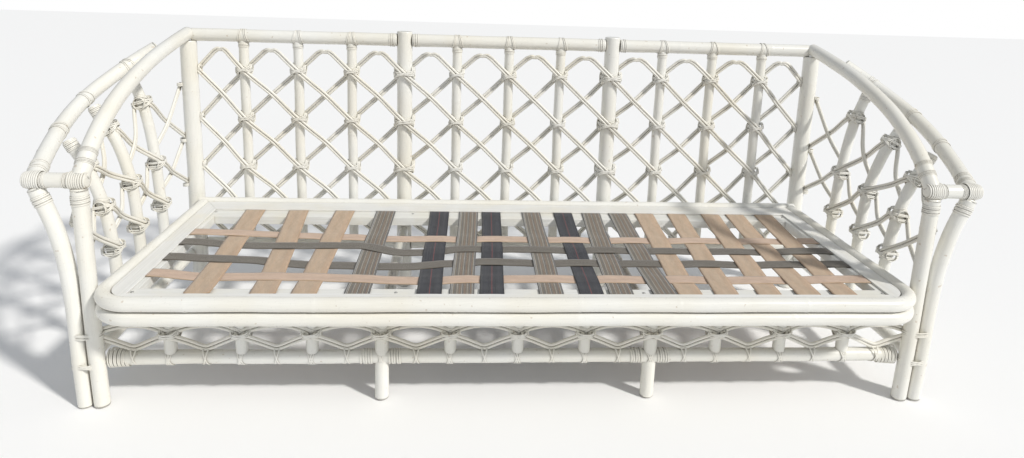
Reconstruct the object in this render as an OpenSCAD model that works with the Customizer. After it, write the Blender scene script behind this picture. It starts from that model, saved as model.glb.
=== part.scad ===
// Rattan daybed: a three-sided frame of bent rattan poles, filled with a diagonal
// lattice of paired thin canes, with a timber seat frame that carries woven webbing.
// +X runs to the right along the seat, +Y to the back, +Z up. The origin is on the
// floor, under the middle of the daybed.

/* [Overall] */
// Distance between two neighbouring lattice uprights
bay = 165; // [150:1:180]
// Distance from the front skirt plane to the back lattice plane, in bays
depth_bays = 4; // [4]
// Number of bays along the back, counted between the corner posts
length_bays = 12; // [12]
// Height of the centre of the back's top rail
back_h = 819; // [800:1:840]
// Height of the top of the seat poles
seat_h = 312; // [305:1:320]
// Height of the centre of the bottom rails
bottom_rail_h = 112; // [105:1:120]

/* [Poles] */
// Diameter of the corner posts
corner_post_d = 50; // [44:1:54]
// Diameter of the two posts inside the back
main_post_d = 48; // [42:1:52]
// Diameter of the top rail
top_rail_d = 40; // [36:1:42]
// Diameter of the arm rails
arm_d = 38; // [34:1:40]
// Diameter of the front corner legs
leg_d = 36; // [32:1:36]
// Diameter of the two stacked poles around the seat
seat_pole_d = 34; // [30:1:34]
// Diameter of the lattice uprights
upright_d = 30; // [26:1:32]
// Diameter of the bottom rails and the middle front legs
rail_d = 34; // [30:1:35]
// Diameter of the short pole between the two arm corners
cross_piece_d = 34; // [30:1:36]

/* [Lattice] */
// Diameter of one thin lattice cane
cane_d = 8; // [6:0.5:9]
// Height of the highest row of knots on the back
top_knot_h = 715; // [705:1:725]
// Height between two rows of knots
knot_pitch = 154; // [145:1:160]
// Height of the knots on the front skirt
skirt_knot_h = 180; // [175:1:185]
// Thickness of the peel that lashings are wound from
peel_t = 2.5; // [2:0.5:3]

/* [Seat] */
// Thickness of the seat frame's timbers
timber_t = 25; // [20:1:25]
// Thickness of the trim boards on top of the timbers
board_t = 5; // [4:1:6]
// Bend radius of the seat poles at the front corners
seat_bend_r = 80; // [70:1:85]
// Width of the trim boards at the two ends of the seat
end_board_w = 44; // [40:1:50]
// Width of the front trim board
front_board_w = 22; // [20:1:30]
// Width of the back trim board
back_board_w = 68; // [60:1:75]
// Ledge of timber that shows inside the front and back trim boards
ledge_w = 36; // [30:1:45]
// Width of the straps that run from front to back
cross_strap_w = 58; // [50:1:60]
// Width of the straps that run along the seat
long_strap_w = 44; // [40:1:50]
// Thickness of the webbing
strap_t = 1.5; // [1:0.5:2]

/* [Hidden] */
$fn = 48;

// planes and heights
half_l = bay * length_bays / 2;
front_y = -284.5;
back_y = front_y + bay * depth_bays;
post_y = back_y - 5;
main_post_x = 2 * bay;
main_post_h = back_h + 27;
cane_r = cane_d / 2;
pair_gap = 0.3;
pair_shift = cane_r + pair_gap / 2;

// seat
seat_pole_r = seat_pole_d / 2;
upper_pole_z = seat_h - seat_pole_r;
lower_pole_z = upper_pole_z - seat_pole_d;
seat_side_x = half_l - 40;
seat_front_y = front_y - 100;
seat_back_y = post_y - corner_post_d / 2 - seat_pole_r;
frame_x = seat_side_x - seat_pole_r;
frame_y0 = seat_front_y + seat_pole_r;
frame_y1 = seat_back_y - seat_pole_r;
timber_top = seat_h - 14;
timber_z = timber_top - timber_t;
strap_x = frame_x - end_board_w;
strap_y0 = frame_y0 + front_board_w;
strap_y1 = frame_y1 - back_board_w;
end_ledge_w = 12;
back_ledge_w = ledge_w + 16;
timber_front_w = front_board_w + ledge_w;
timber_back_w = back_board_w + back_ledge_w;
timber_end_w = end_board_w + end_ledge_w;

// arms and legs, for the right-hand side; each point is [x, y, z]
arm_inner_path = [
    [990, 372, 824], [988, 250, 804], [988, 90, 770], [988, -60, 722], [988, -160, 675],
    [988, -240, 620], [989, -304, 553]
];
arm_outer_path = [
    [1025, 230, 793], [1085, 180, 746], [1124, 80, 696], [1134, 0, 664], [1130, -90, 630],
    [1110, -200, 591], [1086, -304, 550]
];
leg_y = -306;
inner_leg_path = [
    [990, leg_y, 535], [988, leg_y, 350], [986, leg_y, 170], [981, leg_y, -20]
];
outer_leg_path = [
    [1083, leg_y, 535], [1052, leg_y, 450], [1034, leg_y, 365], [1025, leg_y, 260],
    [1022, leg_y, 120], [1018, leg_y, -20]
];
// side uprights from front to back: the y of each, its points [x, z] from bottom to top,
// and the heights of its knots
side_y = [-118, 24, 176];
side_upright_paths = [
    [[1014, 129], [1018, 290], [1034, 420], [1066, 525], [1106, 598]],
    [[1014, 129], [1020, 310], [1030, 450], [1060, 560], [1112, 656]],
    [[1014, 129], [1019, 310], [1030, 490], [1052, 630], [1082, 716]]
];
side_knot_z = [[320, 430, 530], [330, 450, 595], [340, 465, 640]];
side_post_knot_z = [345, 490, 665];
side_leg_knot_z = [310, 440];
path_steps = 4;

// ---- pole tools ----

function unit(v) = v / norm(v);

// a smooth curve through the points p, with n steps from each point to the next
function curve(p, n) = [
    for (i = [0 : len(p) - 2])
        let (
            a = p[i],
            b = p[i + 1],
            ta = (i == 0) ? b - a : (b - p[i - 1]) / 2,
            tb = (i == len(p) - 2) ? b - a : (p[i + 2] - a) / 2
        )
        for (k = [0 : (i == len(p) - 2) ? n : n - 1])
            let (u = k / n)
            a * (2 * pow(u, 3) - 3 * pow(u, 2) + 1) + ta * (pow(u, 3) - 2 * pow(u, 2) + u)
            + b * (3 * pow(u, 2) - 2 * pow(u, 3)) + tb * (pow(u, 3) - pow(u, 2))
];

// the step of the path p that crosses the value v along the axis k, and the point there
function step_at(p, k, v) = [
    for (i = [0 : len(p) - 2])
        if ((p[i][k] - v) * (p[i + 1][k] - v) <= 0) i
][0];
function point_at(p, k, v) =
    let (i = step_at(p, k, v), u = (v - p[i][k]) / (p[i + 1][k] - p[i][k]))
    p[i] + u * (p[i + 1] - p[i]);

function tangent(p, i) = unit(p[min(i + 1, len(p) - 1)] - p[max(i - 1, 0)]);

// a round pole of diameter d along the points p; ref is never parallel to the pole
module bent_pole(p, d, ref, sides = 14) {
    points = [
        for (i = [0 : len(p) - 1])
            let (t = tangent(p, i), u = unit(cross(ref, t)), v = cross(t, u))
            for (k = [0 : sides - 1])
                p[i] + d / 2 * (cos(360 * k / sides) * u + sin(360 * k / sides) * v)
    ];
    walls = [
        for (i = [0 : len(p) - 2])
            for (k = [0 : sides - 1])
                let (a = i * sides + k, b = i * sides + (k + 1) % sides)
                each [[a, a + sides, b], [b, a + sides, b + sides]]
    ];
    caps = [
        [for (k = [0 : sides - 1]) k],
        [for (k = [sides - 1 : -1 : 0]) (len(p) - 1) * sides + k]
    ];
    polyhedron(points, concat(walls, caps));
}

// a straight round pole from a to b
module pole(a, b, d) {
    v = b - a;
    translate(a)
        rotate([0, acos(v[2] / norm(v)), atan2(v[1], v[0])])
            cylinder(h = norm(v), d = d);
}

// peel wound tightly round a pole: a sleeve of length w, centred on c, along v
module sleeve(c, v, w, d) {
    translate(c)
        rotate([0, acos(v[2] / norm(v)), atan2(v[1], v[0])])
            difference() {
                cylinder(h = w, d = d + 2 * peel_t, center = true);
                cylinder(h = w + 2, d = d, center = true);
            }
}

// outline with round ends: half circles of radius r, whose centres are 2 * s apart along X
function stadium(r, s) = concat(
    [for (a = [-90 : 18 : 90]) [s + r * cos(a), r * sin(a)]],
    [for (a = [90 : 18 : 270]) [-s + r * cos(a), r * sin(a)]]
);

// a flat band round two things side by side
module band(r, s, w) {
    translate([0, 0, -w / 2])
        linear_extrude(height = w)
            difference() {
                polygon(stadium(r + peel_t, s));
                polygon(stadium(r, s));
            }
}

// two thin canes side by side, from a to b, apart along the direction n
module cane_pair(a, b, n) {
    for (s = [-1, 1])
        pole(a + s * pair_shift * n, b + s * pair_shift * n, cane_d);
}

module right_or_left(side) {
    if (side > 0) children();
    else mirror([1, 0, 0]) children();
}

// ---- back ----

module corner_post(side) {
    color("ivory")
        pole([side * half_l, post_y, 0], [side * half_l, post_y, back_h - 18], corner_post_d);
}

module back_post(side) {
    color("ivory")
        pole([side * main_post_x, back_y, 0], [side * main_post_x, back_y, main_post_h],
            main_post_d);
}

module top_rail(x0, x1) {
    color("ivory") pole([x0, back_y, back_h], [x1, back_y, back_h], top_rail_d);
}

inner_rail_end = half_l + 10 - arm_d / 2 - 1;
panel_x0 = [-half_l + corner_post_d / 2, -main_post_x + main_post_d / 2,
    main_post_x + main_post_d / 2];
panel_x1 = [-main_post_x - main_post_d / 2, main_post_x - main_post_d / 2,
    half_l - corner_post_d / 2];
back_rail_z = bottom_rail_h + 33;

module back_bottom_rails() {
    color("ivory")
        for (i = [0 : 2])
            pole([panel_x0[i], back_y, back_rail_z], [panel_x1[i], back_y, back_rail_z], rail_d);
}

// lattice uprights stand at every bay that has no post
upright_bays = [-5, -4, -3, -1, 0, 1, 3, 4, 5];

module back_uprights() {
    color("ivory")
        for (i = upright_bays)
            pole([i * bay, back_y, back_rail_z + rail_d / 2],
                [i * bay, back_y, back_h - top_rail_d / 2], upright_d);
}

slope = knot_pitch / bay;
lattice_z0 = back_rail_z + rail_d / 2 + 10;
lattice_z1 = back_h - top_rail_d / 2 - 10;
lattice_dy = upright_d / 2 + cane_r + 0.5;
cane_end_gap = 6;

// every diagonal of one direction, cut to the three panels; dir is 1 up, -1 down to the right
module diagonals(dir, y) {
    n = unit([-dir * slope, 0, 1]);
    for (p = [0 : 2])
        for (k = [-10 : 14]) {
            z_mid = top_knot_h - k * knot_pitch;
            lo = (dir > 0) ? (lattice_z0 - z_mid) / slope : (z_mid - lattice_z1) / slope;
            hi = (dir > 0) ? (lattice_z1 - z_mid) / slope : (z_mid - lattice_z0) / slope;
            x0 = max(lo, panel_x0[p] + cane_end_gap);
            x1 = min(hi, panel_x1[p] - cane_end_gap);
            if (x1 - x0 > bay / 4)
                cane_pair([x0, y, z_mid + dir * slope * x0], [x1, y, z_mid + dir * slope * x1], n);
        }
}

module back_canes_front() { color("floralwhite") diagonals(-1, back_y - lattice_dy); }
module back_canes_rear() { color("floralwhite") diagonals(1, back_y + lattice_dy); }

knot_w = 12;
loop_w = 14;

module back_lashings() {
    color("oldlace") {
        // knots that hold the two cane layers against the uprights
        for (i = upright_bays)
            for (j = [0 : 3])
                translate([i * bay, back_y, top_knot_h - j * knot_pitch])
                    rotate([0, 0, 90])
                        band(upright_d / 2, lattice_dy + cane_r - upright_d / 2, knot_w);
        // collars under and over the top rail at each upright
        for (i = upright_bays) {
            sleeve([i * bay, back_y, back_h - top_rail_d / 2 - 12], [0, 0, 1], loop_w, upright_d);
            sleeve([i * bay, back_y, back_h], [1, 0, 0], loop_w, top_rail_d);
        }
        // bindings on the top rail beside the two inner posts
        for (s = [-1, 1])
            for (e = [-1, 1])
                sleeve([s * main_post_x + e * (main_post_d / 2 + 16), back_y, back_h],
                    [1, 0, 0], loop_w, top_rail_d);
    }
}

// ---- arms ----

module arm_inner_rail(side) {
    color("ivory") right_or_left(side)
        bent_pole(curve(arm_inner_path, path_steps), arm_d, [1, 0, 0]);
}

module arm_outer_rail(side) {
    color("ivory") right_or_left(side)
        bent_pole(curve(arm_outer_path, path_steps), arm_d, [0, 0, 1]);
}

arm_corner_y = -304;
arm_corner_z = 551;
arm_corner_in = 989;
arm_corner_out = 1086;

module arm_cross_pieces() {
    color("ivory")
        for (side = [-1, 1]) right_or_left(side)
            pole([arm_corner_in + arm_d / 2, arm_corner_y, arm_corner_z],
                [arm_corner_out - arm_d / 2, arm_corner_y, arm_corner_z], cross_piece_d);
}

// a sleeve on the path p, where the path crosses the value v along the axis k
module sleeve_at(p, k, v, w, d) {
    i = step_at(p, k, v);
    sleeve(point_at(p, k, v), p[i + 1] - p[i], w, d);
}

binding_z = 500;
binding_y = -250;
leg_binding_w = 22;
arm_binding_w = 20;
upright_binding_w = 18;

module arm_bindings(side) {
    inner = curve(arm_inner_path, path_steps);
    outer = curve(arm_outer_path, path_steps);
    color("oldlace") right_or_left(side) {
        sleeve_at(curve(inner_leg_path, path_steps), 2, binding_z, leg_binding_w, leg_d);
        sleeve_at(curve(outer_leg_path, path_steps), 2, binding_z, leg_binding_w, leg_d);
        sleeve_at(inner, 1, binding_y, arm_binding_w, arm_d);
        sleeve_at(outer, 1, binding_y, arm_binding_w, arm_d);
        for (y = side_y) sleeve_at(outer, 1, y, upright_binding_w, arm_d);
    }
}

// ---- front legs ----

module above_floor() {
    intersection() {
        children();
        translate([-1500, -1500, 0]) cube([3000, 3000, 1500]);
    }
}

module front_leg_inner(side) {
    color("ivory") right_or_left(side) above_floor()
        bent_pole(curve(inner_leg_path, path_steps), leg_d, [0, 1, 0]);
}

module front_leg_outer(side) {
    color("ivory") right_or_left(side) above_floor()
        bent_pole(curve(outer_leg_path, path_steps), leg_d, [0, 1, 0]);
}

leg_band_z = [105, 182];
leg_pair_x = 1004;

module front_leg_bindings() {
    color("oldlace")
        for (s = [-1, 1])
            for (z = leg_band_z)
                translate([s * leg_pair_x, leg_y, z])
                    band(leg_d / 2 + 1, 19, 16);
}

module front_mid_leg(side) {
    color("ivory")
        pole([side * main_post_x, front_y, 0], [side * main_post_x, front_y, skirt_top], rail_d);
}

// ---- sides ----

function side_upright(i) =
    curve([for (p = side_upright_paths[i]) [p[0], side_y[i], p[1]]], path_steps);

// knots [x, z]: on the uprights, on the outer face of the corner post, and midway between
// the two front legs
side_knots = [
    for (i = [0 : 2]) [for (z = side_knot_z[i]) [point_at(side_upright(i), 2, z)[0], z]]
];
side_post_knots = [for (z = side_post_knot_z) [half_l + corner_post_d / 2, z]];
side_leg_knots = [
    for (z = side_leg_knot_z)
        let (
            inner = point_at(curve(inner_leg_path, path_steps), 2, z),
            outer = point_at(curve(outer_leg_path, path_steps), 2, z)
        )
        [(inner[0] + outer[0]) / 2, z]
];

module side_uprights(side) {
    color("ivory") right_or_left(side)
        for (i = [0 : 2]) bent_pole(side_upright(i), upright_d, [0, 1, 0], 12);
}

side_rail_x = half_l + 22;

module side_bottom_rail(side) {
    color("ivory")
        pole([side * side_rail_x, front_y, bottom_rail_h],
            [side * side_rail_x, post_y, bottom_rail_h], rail_d);
}

// two canes from knot a to knot b, stopping a gap short of each knot
module side_cane(a, b, gap) {
    v = unit(b - a);
    cane_pair(a + gap * v, b - gap * v, unit(cross([1, 0, 0], v)));
}

// canes of the side panel: one direction runs outside the uprights, the other inside
module side_canes(side) {
    k = side_knots;
    out = upright_d / 2 + cane_r;
    gap = 8;
    color("floralwhite") right_or_left(side) {
        for (e = [
            [side_leg_knots[0], front_y, k[0][1], side_y[0]],
            [side_leg_knots[1], front_y, k[0][2], side_y[0]],
            [k[0][0], side_y[0], k[1][1], side_y[1]],
            [k[0][1], side_y[0], k[1][2], side_y[1]],
            [k[1][0], side_y[1], k[2][1], side_y[2]],
            [k[1][1], side_y[1], k[2][2], side_y[2]],
            [k[2][0], side_y[2], side_post_knots[1], back_y],
            [k[2][1], side_y[2], side_post_knots[2], back_y]
        ])
            side_cane([e[0][0] + out, e[1], e[0][1]], [e[2][0] + out, e[3], e[2][1]], gap);
        for (e = [
            [side_leg_knots[1], front_y, k[0][0], side_y[0]],
            [k[0][2], side_y[0], k[1][1], side_y[1]],
            [k[0][1], side_y[0], k[1][0], side_y[1]],
            [k[1][2], side_y[1], k[2][1], side_y[2]],
            [k[1][1], side_y[1], k[2][0], side_y[2]],
            [k[2][2], side_y[2], side_post_knots[1], back_y],
            [k[2][1], side_y[2], side_post_knots[0], back_y]
        ])
            side_cane([e[0][0] - out, e[1], e[0][1]], [e[2][0] - out, e[3], e[2][1]], gap);
    }
}

module side_lashings(side) {
    color("oldlace") right_or_left(side)
        for (i = [0 : 2])
            for (k = side_knots[i])
                translate([k[0], side_y[i], k[1]])
                    band(upright_d / 2, 8.5, knot_w);
}

// ---- front skirt ----

skirt_top_rail_t = 30;
skirt_top_rail_y = [front_y - 36, front_y + 16];
skirt_top = timber_z - skirt_top_rail_t;
skirt_rail_x = half_l - 22;

// the rail ends against the two inner front legs
module front_bottom_rail() {
    color("ivory")
        pole([-skirt_rail_x, front_y, bottom_rail_h], [skirt_rail_x, front_y, bottom_rail_h],
            rail_d);
}

// a timber under the front edge of the seat frame; the skirt and the middle legs hang on it
module skirt_top_rail() {
    color("whitesmoke")
        translate([-skirt_rail_x, skirt_top_rail_y[0], skirt_top])
            cube([2 * skirt_rail_x, skirt_top_rail_y[1] - skirt_top_rail_y[0], skirt_top_rail_t]);
}

module skirt_uprights() {
    color("ivory")
        for (i = upright_bays)
            pole([i * bay, front_y, bottom_rail_h + rail_d / 2], [i * bay, front_y, skirt_top],
                upright_d);
}

// one V under and one roof over each bay of the skirt
module skirt_canes() {
    y = front_y - lattice_dy;
    low = bottom_rail_h + rail_d / 2 + 2;
    high = lower_pole_z - seat_pole_r + 4;
    edge = 20;
    color("floralwhite")
        for (i = [-6 : 5]) {
            xm = (i + 0.5) * bay;
            for (s = [-1, 1]) {
                x = xm + s * (bay / 2 - edge);
                cane_pair([x, y, skirt_knot_h], [xm + s * 4, y, low],
                    unit([s * (skirt_knot_h - low), 0, -(bay / 2 - edge)]));
                cane_pair([x, y + 4, skirt_knot_h + 8], [xm + s * 4, y + 4, high],
                    unit([s * (high - skirt_knot_h), 0, bay / 2 - edge]));
            }
        }
}

module skirt_lashings() {
    color("oldlace")
        for (i = upright_bays) {
            translate([i * bay, front_y - 2, skirt_knot_h])
                rotate([0, 0, 90]) band(upright_d / 2, 8.5, knot_w);
            sleeve([i * bay, front_y, bottom_rail_h], [1, 0, 0], loop_w, rail_d);
        }
}

// ---- seat ----

bend_steps = 6;

function seat_ring(z) = concat(
    [[-seat_side_x, seat_back_y - seat_pole_r, z]],
    [for (k = [0 : bend_steps]) let (a = 180 + 90 * k / bend_steps)
        [-seat_side_x + seat_bend_r * (1 + cos(a)),
            seat_front_y + seat_bend_r * (1 + sin(a)), z]],
    [for (k = [0 : bend_steps]) let (a = 270 + 90 * k / bend_steps)
        [seat_side_x - seat_bend_r * (1 - cos(a)),
            seat_front_y + seat_bend_r * (1 + sin(a)), z]],
    [[seat_side_x, seat_back_y - seat_pole_r, z]]
);

module seat_pole_upper() {
    color("ivory") bent_pole(seat_ring(upper_pole_z), seat_pole_d, [0, 0, 1], 16);
}

module seat_pole_lower() {
    color("ivory") bent_pole(seat_ring(lower_pole_z), seat_pole_d, [0, 0, 1], 16);
}

module seat_back_pole(z) {
    x = seat_side_x + seat_pole_r;
    color("ivory") pole([-x, seat_back_y, z], [x, seat_back_y, z], seat_pole_d);
}

stretcher_z = bottom_rail_h + 83;

module cross_stretcher(side) {
    color("ivory")
        pole([side * main_post_x, front_y + rail_d / 2, stretcher_z],
            [side * main_post_x, back_y - main_post_d / 2, stretcher_z], rail_d - 2);
}

// the timbers: front and back run the full length, the two ends fit between them
module timber_block(x0, y0, x1, y1) {
    color("whitesmoke")
        translate([x0, y0, timber_z])
            cube([x1 - x0, y1 - y0, timber_t]);
}

// the front corners are round, on the centre of the seat poles' bend, so they clear the poles
corner_r = seat_bend_r - seat_pole_d / 2;
corner_at = [seat_side_x - seat_bend_r, seat_front_y + seat_bend_r];
corner_steps = 8;

function corner_arc(a0, a1) = [
    for (k = [0 : corner_steps])
        let (a = a0 + (a1 - a0) * k / corner_steps)
        corner_at + corner_r * [cos(a), sin(a)]
];
function to_left(p) = [for (i = [len(p) - 1 : -1 : 0]) [-p[i][0], p[i][1]]];

front_corner = corner_arc(-90, asin((frame_y0 + timber_front_w - corner_at[1]) / corner_r));

module frame_timber_front() {
    color("whitesmoke")
        translate([0, 0, timber_z])
            linear_extrude(height = timber_t)
                polygon(concat(front_corner, to_left(front_corner)));
}

module frame_timber_back() {
    timber_block(-frame_x, frame_y1 - timber_back_w, frame_x, frame_y1);
}

module frame_timber_end(side) {
    x0 = (side > 0) ? frame_x - timber_end_w : -frame_x;
    timber_block(x0, frame_y0 + timber_front_w, x0 + timber_end_w, frame_y1 - timber_back_w);
}

// the trim boards are mitred where the ends meet the front and the back
mitre = atan2(strap_y0 - corner_at[1], strap_x - corner_at[0]);

module board(outline) {
    color("whitesmoke")
        translate([0, 0, timber_top]) linear_extrude(height = board_t) polygon(outline);
}

module trim_board_front() {
    right = concat(corner_arc(-90, mitre), [[strap_x, strap_y0]]);
    board(concat(right, to_left(right)));
}

module trim_board_back() {
    board([
        [-strap_x, strap_y1], [strap_x, strap_y1], [frame_x, frame_y1], [-frame_x, frame_y1]
    ]);
}

module trim_board_end(side) {
    right_or_left(side)
        board(concat(
            corner_arc(mitre, 0),
            [[frame_x, frame_y1], [strap_x, strap_y1], [strap_x, strap_y0]]
        ));
}

// ---- webbing ----

// the straps are nailed by hand, so they are uneven; from left to right: [front x, back x]
tan_cross = [
    [-735, -770], [-590, -640], [-500, -500],
    [400, 435], [490, 540], [595, 650], [690, 730], [780, 825]
];
grey_cross = [[-380, -375], [-140, -120], [70, 75], [235, 265], [340, 350]];
navy_cross = [[-215, -210], [-70, -50], [165, 175]];
long_y = [18, -64, -160, -254];

module cross_straps(list, shade) {
    h = cross_strap_w / 2;
    color(shade)
        for (s = list)
            translate([0, 0, timber_top])
                linear_extrude(height = strap_t)
                    polygon([
                        [s[0] - h, strap_y0], [s[0] + h, strap_y0],
                        [s[1] + h, strap_y1], [s[1] - h, strap_y1]
                    ]);
}

module long_straps(rows, shade) {
    color(shade)
        for (y = rows)
            translate([-strap_x, y - long_strap_w / 2, timber_top + strap_t])
                cube([2 * strap_x, long_strap_w, strap_t]);
}

// ---- fixings ----

screw_d = 8;

screw_h = 2;
screw_inset = 16;

// screws in the ledges: at the four corners, and at the two middle legs and the two back posts
module frame_screws() {
    color("silver")
        for (s = [-1, 1])
            for (y = [strap_y0 + screw_inset, strap_y1 - screw_inset])
                for (x = [main_post_x - 38, strap_x - 6])
                    translate([s * x, y, timber_top]) cylinder(h = screw_h, d = screw_d);
}

staple_w = 12;
staple_t = 1.2;

// one row of staples on each end of each cross strap
module staples() {
    color("silver")
        for (s = concat(tan_cross, grey_cross, navy_cross))
            for (e = [0, 1])
                for (dx = [-16, 4])
                    translate([s[e] + dx, (e == 0) ? strap_y0 + 8 : strap_y1 - 8,
                        timber_top + strap_t])
                        cube([staple_w, staple_t, staple_t]);
}

corner_post(-1);  // corner_post_left
corner_post(1);  // corner_post_right
back_post(-1);  // back_post_left
back_post(1);  // back_post_right
top_rail(-inner_rail_end, -main_post_x - main_post_d / 2);  // top_rail_left
top_rail(-main_post_x + main_post_d / 2, main_post_x - main_post_d / 2);  // top_rail_middle
top_rail(main_post_x + main_post_d / 2, inner_rail_end);  // top_rail_right
back_bottom_rails();
back_uprights();
back_canes_front();
back_canes_rear();
back_lashings();
arm_inner_rail(-1);  // arm_inner_rail_left
arm_inner_rail(1);  // arm_inner_rail_right
arm_outer_rail(-1);  // arm_outer_rail_left
arm_outer_rail(1);  // arm_outer_rail_right
arm_cross_pieces();
arm_bindings(-1);  // arm_bindings_left
arm_bindings(1);  // arm_bindings_right
front_leg_inner(-1);  // front_leg_inner_left
front_leg_inner(1);  // front_leg_inner_right
front_leg_outer(-1);  // front_leg_outer_left
front_leg_outer(1);  // front_leg_outer_right
front_leg_bindings();
front_mid_leg(-1);  // front_mid_leg_left
front_mid_leg(1);  // front_mid_leg_right
side_uprights(-1);  // side_uprights_left
side_uprights(1);  // side_uprights_right
side_bottom_rail(-1);  // side_bottom_rail_left
side_bottom_rail(1);  // side_bottom_rail_right
side_canes(-1);  // side_canes_left
side_canes(1);  // side_canes_right
side_lashings(-1);  // side_lashings_left
side_lashings(1);  // side_lashings_right
front_bottom_rail();
skirt_top_rail();
skirt_uprights();
skirt_canes();
skirt_lashings();
seat_pole_upper();
seat_pole_lower();
seat_back_pole(upper_pole_z);  // seat_back_pole_upper
seat_back_pole(lower_pole_z);  // seat_back_pole_lower
cross_stretcher(-1);  // cross_stretcher_left
cross_stretcher(1);  // cross_stretcher_right
frame_timber_front();
frame_timber_back();
frame_timber_end(-1);  // frame_timber_left
frame_timber_end(1);  // frame_timber_right
trim_board_front();
trim_board_back();
trim_board_end(-1);  // trim_board_left
trim_board_end(1);  // trim_board_right
cross_straps(tan_cross, "tan");  // straps_cross_tan
cross_straps(grey_cross, "rosybrown");  // straps_cross_grey
cross_straps(navy_cross, "midnightblue");  // straps_cross_navy
long_straps([long_y[0], long_y[3]], "burlywood");  // straps_long_tan
long_straps([long_y[1], long_y[2]], "dimgray");  // straps_long_grey
frame_screws();
staples();
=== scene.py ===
import math
import random

import bmesh
import bpy
import numpy as np
from mathutils import Matrix, Vector


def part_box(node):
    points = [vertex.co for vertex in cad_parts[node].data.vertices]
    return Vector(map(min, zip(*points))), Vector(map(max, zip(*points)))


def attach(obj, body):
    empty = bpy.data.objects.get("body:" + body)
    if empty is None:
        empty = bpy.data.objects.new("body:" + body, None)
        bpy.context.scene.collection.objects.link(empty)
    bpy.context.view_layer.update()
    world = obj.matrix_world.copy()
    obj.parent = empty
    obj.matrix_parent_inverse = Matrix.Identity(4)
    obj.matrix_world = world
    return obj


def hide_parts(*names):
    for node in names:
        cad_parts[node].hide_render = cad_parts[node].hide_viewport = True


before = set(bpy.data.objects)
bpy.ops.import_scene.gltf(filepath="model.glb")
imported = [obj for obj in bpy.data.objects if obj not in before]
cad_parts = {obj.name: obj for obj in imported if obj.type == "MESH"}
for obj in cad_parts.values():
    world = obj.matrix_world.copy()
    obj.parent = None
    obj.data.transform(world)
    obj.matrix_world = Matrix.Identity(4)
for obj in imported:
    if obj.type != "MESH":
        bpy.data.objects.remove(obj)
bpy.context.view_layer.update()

# A rattan daybed. Lengths are in metres; MM turns millimetres into metres.
MM = 0.001
SEED = 11
rng = random.Random(SEED)


def vec(*values):
    return np.array(values, float)


def node_box(node):
    low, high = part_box(node)
    return np.array(low), np.array(high)


# ---- dimensions, from the frame ----

corner_low, corner_high = node_box("corner_post_right")
CORNER_X, CORNER_Y = (corner_low + corner_high)[:2] / 2
post_low, post_high = node_box("back_post_right")
POST_X, BACK_Y = (post_low + post_high)[:2] / 2
POST_R = (post_high[0] - post_low[0]) / 2
CORNER_R = (corner_high[0] - corner_low[0]) / 2
rail_low, rail_high = node_box("top_rail_middle")
TOP_Z = (rail_low[2] + rail_high[2]) / 2
TOP_R = (rail_high[2] - rail_low[2]) / 2
BAY = CORNER_X / 6
bottom_low, bottom_high = node_box("back_bottom_rails")
BACK_RAIL_Z = (bottom_low[2] + bottom_high[2]) / 2
RAIL_R = (bottom_high[2] - bottom_low[2]) / 2
front_low, front_high = node_box("front_bottom_rail")
FRONT_Y = (front_low[1] + front_high[1]) / 2
FRONT_RAIL_Z = (front_low[2] + front_high[2]) / 2
skirt_low, skirt_high = node_box("skirt_uprights")
UPRIGHT_R = (skirt_high[1] - skirt_low[1]) / 2
SKIRT_TOP = skirt_high[2]
TIMBER_TOP = node_box("frame_timber_front")[1][2]
strap_low, strap_high = node_box("straps_cross_tan")
STRAP_Y0, STRAP_Y1 = strap_low[1], strap_high[1]
STRAP_X = node_box("straps_long_tan")[1][0]
ring_low, ring_high = node_box("seat_pole_upper")
RING_R = (ring_high[2] - ring_low[2]) / 2
BEND_R = 80 * MM
BEND_X = ring_high[0] - RING_R - BEND_R
BEND_Y = ring_low[1] + RING_R + BEND_R

SIDES = ((-1, "left"), (1, "right"))
UPRIGHT_BAYS = (-5, -4, -3, -1, 0, 1, 3, 4, 5)
POST_BAYS = (-2, 2)
KNOT_PITCH = 154 * MM
KNOT_TOP = 715 * MM
CANE_R = 4 * MM
ARM_R = 19 * MM
LEG_R = 18 * MM
CROSS_R = 17 * MM

# arms and legs of the right-hand side, as in the frame
ARM_INNER = [
    (990, 372, 824), (988, 250, 804), (988, 90, 770), (988, -60, 722), (988, -160, 675),
    (988, -240, 620), (989, -304, 553),
]
ARM_OUTER = [
    (1025, 230, 793), (1085, 180, 746), (1124, 80, 696), (1134, 0, 664), (1130, -90, 630),
    (1110, -200, 591), (1086, -304, 550),
]
LEG_Y = -306
LEG_INNER = [(990, LEG_Y, 535), (988, LEG_Y, 350), (986, LEG_Y, 170), (981, LEG_Y, 0)]
LEG_OUTER = [
    (1083, LEG_Y, 535), (1052, LEG_Y, 450), (1034, LEG_Y, 365), (1025, LEG_Y, 260),
    (1022, LEG_Y, 120), (1018, LEG_Y, 0),
]
SIDE_Y = (-118, 24, 176)
SIDE_UPRIGHTS = [
    [(1014, 129), (1018, 290), (1034, 420), (1066, 525), (1106, 598)],
    [(1014, 129), (1020, 310), (1030, 450), (1060, 560), (1112, 656)],
    [(1014, 129), (1019, 310), (1030, 490), (1052, 630), (1082, 716)],
]
SIDE_KNOT_Z = [(320, 430, 530), (330, 450, 595), (340, 465, 640)]
SIDE_POST_KNOT_Z = (345, 490, 665)
SIDE_LEG_KNOT_Z = (310, 440)
CORNER_IN = vec(989, -304, 551) * MM
CORNER_OUT = vec(1086, -304, 551) * MM


# ---- meshes ----

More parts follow.
